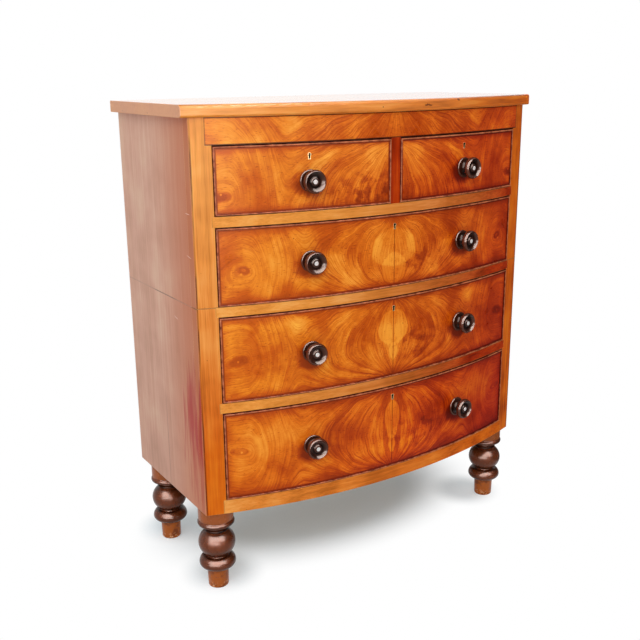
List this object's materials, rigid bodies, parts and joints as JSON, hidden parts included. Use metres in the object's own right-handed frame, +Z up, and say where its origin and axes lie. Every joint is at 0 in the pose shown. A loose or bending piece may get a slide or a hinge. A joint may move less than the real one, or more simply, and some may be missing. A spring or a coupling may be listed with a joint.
{
  "type": "chest of drawers",
  "caption": "Tall wooden chest of drawers with a bowed front, made in an upper and a lower section, with sliding lockable drawers, round knobs and turned feet.",
  "frame": {"origin": "on the floor, under the middle of the whole chest including its knobs", "axes": "+X to the right seen from the front, +Y to the back, +Z up; drawers open along -Y"},
  "size_m": [1.09, 0.5454, 1.256],
  "materials": {
    "mahogany_veneer": "polished",
    "mahogany": "polished",
    "dark_mahogany": "polished",
    "bead_mahogany": "polished",
    "pine": "bare",
    "pearl": "polished",
    "brass": "aged",
    "steel": "satin"
  },
  "bodies": {
    "lower_section": {"waist_rail": "mahogany", "lower_left_side": "mahogany", "lower_right_side": "mahogany", "lower_stiles": "mahogany", "lower_drawer_rail": "mahogany", "base_rail": "mahogany", "lower_runners": "pine", "lower_drawer_stops": "pine", "bottom_board": "pine", "lower_back_boards": "pine", "turned_feet": "dark_mahogany", "foot_blocks": "pine", "section_dowels": "pine"},
    "upper_section": {"top_board": "mahogany", "frieze_rail": "mahogany", "upper_left_side": "mahogany", "upper_right_side": "mahogany", "upper_stiles": "mahogany", "short_drawer_divider": "mahogany", "upper_drawer_rail": "mahogany", "upper_runners": "pine", "upper_kickers": "pine", "upper_drawer_stops": "pine", "upper_floor_board": "pine", "upper_back_boards": "pine"},
    "top_left_drawer": {"top_left_drawer_front": "mahogany_veneer", "top_left_drawer_cockbeads": "bead_mahogany", "top_left_drawer_box": "pine", "top_left_drawer_knobs": "dark_mahogany", "top_left_drawer_knob_inlays": "pearl", "top_left_drawer_lock": "brass"},
    "top_left_drawer_lock_bolt": {"top_left_drawer_lock_bolt": "steel"},
    "top_right_drawer": {"top_right_drawer_front": "mahogany_veneer", "top_right_drawer_cockbeads": "bead_mahogany", "top_right_drawer_box": "pine", "top_right_drawer_knobs": "dark_mahogany", "top_right_drawer_knob_inlays": "pearl", "top_right_drawer_lock": "brass"},
    "top_right_drawer_lock_bolt": {"top_right_drawer_lock_bolt": "steel"},
    "upper_long_drawer": {"upper_long_drawer_front": "mahogany_veneer", "upper_long_drawer_cockbeads": "bead_mahogany", "upper_long_drawer_box": "pine", "upper_long_drawer_knobs": "dark_mahogany", "upper_long_drawer_knob_inlays": "pearl", "upper_long_drawer_lock": "brass"},
    "upper_long_drawer_lock_bolt": {"upper_long_drawer_lock_bolt": "steel"},
    "middle_long_drawer": {"middle_long_drawer_front": "mahogany_veneer", "middle_long_drawer_cockbeads": "bead_mahogany", "middle_long_drawer_box": "pine", "middle_long_drawer_knobs": "dark_mahogany", "middle_long_drawer_knob_inlays": "pearl", "middle_long_drawer_lock": "brass"},
    "middle_long_drawer_lock_bolt": {"middle_long_drawer_lock_bolt": "steel"},
    "bottom_long_drawer": {"bottom_long_drawer_front": "mahogany_veneer", "bottom_long_drawer_cockbeads": "bead_mahogany", "bottom_long_drawer_box": "pine", "bottom_long_drawer_knobs": "dark_mahogany", "bottom_long_drawer_knob_inlays": "pearl", "bottom_long_drawer_lock": "brass"},
    "bottom_long_drawer_lock_bolt": {"bottom_long_drawer_lock_bolt": "steel"}
  },
  "joints": [
    {"name": "upper_section_lift", "type": "slide", "parent": "lower_section", "child": "upper_section", "axis": [0, 0, 1], "range_m": [0, 0.1]},
    {"name": "top_left_drawer_slide", "type": "slide", "parent": "upper_section", "child": "top_left_drawer", "axis": [0, -1, 0], "range_m": [0, 0.3]},
    {"name": "top_left_drawer_lock_bolt_slide", "type": "slide", "parent": "top_left_drawer", "child": "top_left_drawer_lock_bolt", "axis": [0, 0, 1], "range_m": [0, 0.008]},
    {"name": "top_right_drawer_slide", "type": "slide", "parent": "upper_section", "child": "top_right_drawer", "axis": [0, -1, 0], "range_m": [0, 0.3]},
    {"name": "top_right_drawer_lock_bolt_slide", "type": "slide", "parent": "top_right_drawer", "child": "top_right_drawer_lock_bolt", "axis": [0, 0, 1], "range_m": [0, 0.008]},
    {"name": "upper_long_drawer_slide", "type": "slide", "parent": "upper_section", "child": "upper_long_drawer", "axis": [0, -1, 0], "range_m": [0, 0.3]},
    {"name": "upper_long_drawer_lock_bolt_slide", "type": "slide", "parent": "upper_long_drawer", "child": "upper_long_drawer_lock_bolt", "axis": [0, 0, 1], "range_m": [0, 0.008]},
    {"name": "middle_long_drawer_slide", "type": "slide", "parent": "lower_section", "child": "middle_long_drawer", "axis": [0, -1, 0], "range_m": [0, 0.3]},
    {"name": "middle_long_drawer_lock_bolt_slide", "type": "slide", "parent": "middle_long_drawer", "child": "middle_long_drawer_lock_bolt", "axis": [0, 0, 1], "range_m": [0, 0.008]},
    {"name": "bottom_long_drawer_slide", "type": "slide", "parent": "lower_section", "child": "bottom_long_drawer", "axis": [0, -1, 0], "range_m": [0, 0.3]},
    {"name": "bottom_long_drawer_lock_bolt_slide", "type": "slide", "parent": "bottom_long_drawer", "child": "bottom_long_drawer_lock_bolt", "axis": [0, 0, 1], "range_m": [0, 0.008]}
  ]
}
